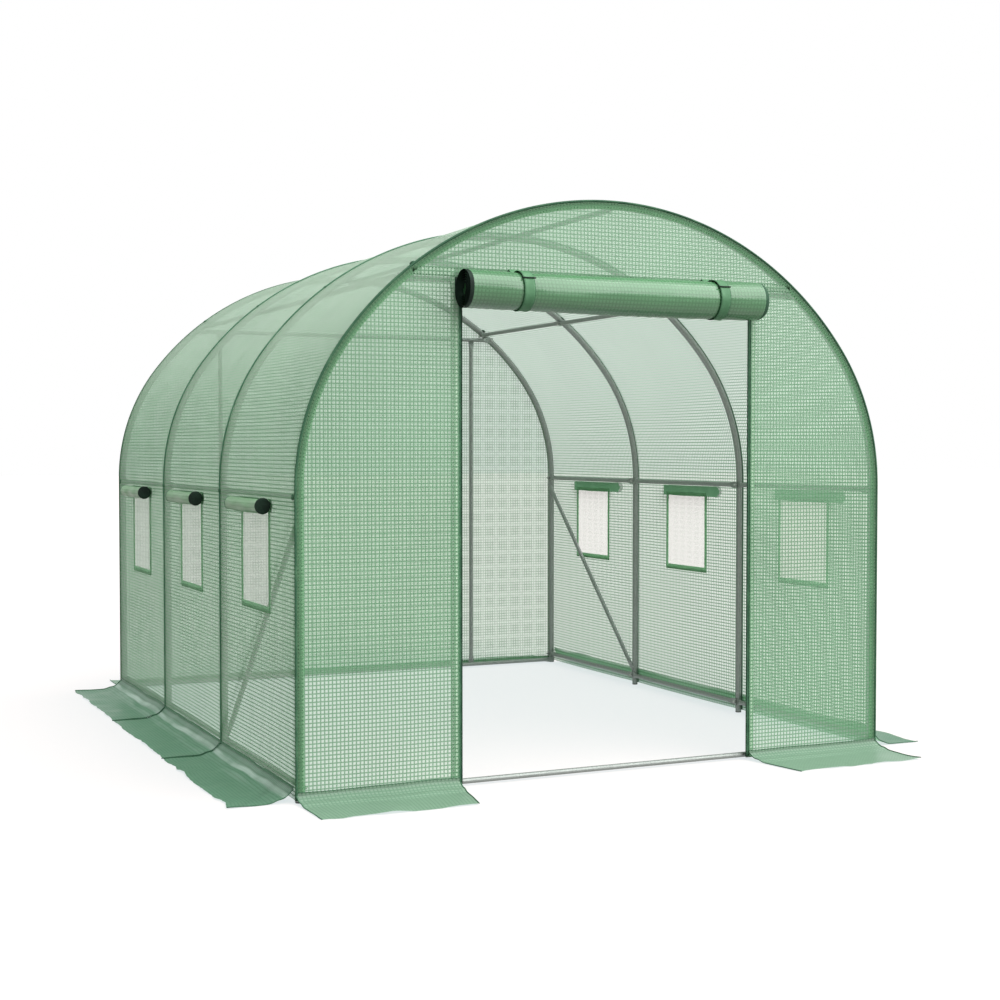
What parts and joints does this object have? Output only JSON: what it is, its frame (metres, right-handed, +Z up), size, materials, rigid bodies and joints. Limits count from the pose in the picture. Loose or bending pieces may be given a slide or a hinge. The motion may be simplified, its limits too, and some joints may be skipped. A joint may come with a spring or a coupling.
{
  "type": "polytunnel greenhouse",
  "caption": "Walk-in tunnel greenhouse with bent steel hoops, bolted purlins and green reinforced film, screened side windows, a rolled-up door and flaps that lie on the ground",
  "frame": {"origin": "middle of the footprint at ground level, on the underside of the feet", "axes": "+X to the right seen from the doorway, +Y from the doorway to the rear, +Z up"},
  "size_m": [2.7406, 3.2502, 1.9996],
  "materials": {
    "galvanised_tube": "galvanised tube, dull spangled zinc",
    "foot_plug": "black moulded plastic",
    "film": "green reinforced film with a square grid of threads, half see-through",
    "skirt_film": "green reinforced film, doubled and creased",
    "screen": "fine pale insect mesh",
    "binding": "dark green woven tape",
    "rolled_film": "green film in many layers, soft sheen"
  },
  "bodies": {
    "root": {"front_hoop_legs": "galvanised_tube", "front_hoop_arch": "galvanised_tube", "second_hoop_legs": "galvanised_tube", "second_hoop_arch": "galvanised_tube", "third_hoop_legs": "galvanised_tube", "third_hoop_arch": "galvanised_tube", "rear_hoop_legs": "galvanised_tube", "rear_hoop_arch": "galvanised_tube", "joint_sleeves": "galvanised_tube", "foot_plugs": "foot_plug", "ridge_purlin": "galvanised_tube", "left_upper_purlin": "galvanised_tube", "right_upper_purlin": "galvanised_tube", "left_shoulder_purlin": "galvanised_tube", "right_shoulder_purlin": "galvanised_tube", "left_base_rail": "galvanised_tube", "right_base_rail": "galvanised_tube", "front_base_rail": "galvanised_tube", "rear_base_rail": "galvanised_tube", "front_header": "galvanised_tube", "rear_header": "galvanised_tube", "front_door_posts": "galvanised_tube", "rear_posts": "galvanised_tube", "diagonal_braces": "galvanised_tube", "left_wall_cover": "film", "right_wall_cover": "film", "left_haunch_cover": "film", "right_haunch_cover": "film", "left_roof_cover": "film", "right_roof_cover": "film", "left_ridge_cover": "film", "right_ridge_cover": "film", "front_left_panel": "film", "front_right_panel": "film", "front_gable": "film", "rear_panel": "film", "left_skirt": "skirt_film", "right_skirt": "skirt_film", "front_skirt": "skirt_film", "rear_skirt": "skirt_film", "window_screens": "screen", "window_bindings": "binding", "window_rolls": "rolled_film", "door_edge_hems": "binding", "door_roll": "rolled_film", "door_roll_ties": "binding"}
  },
  "joints": []
}
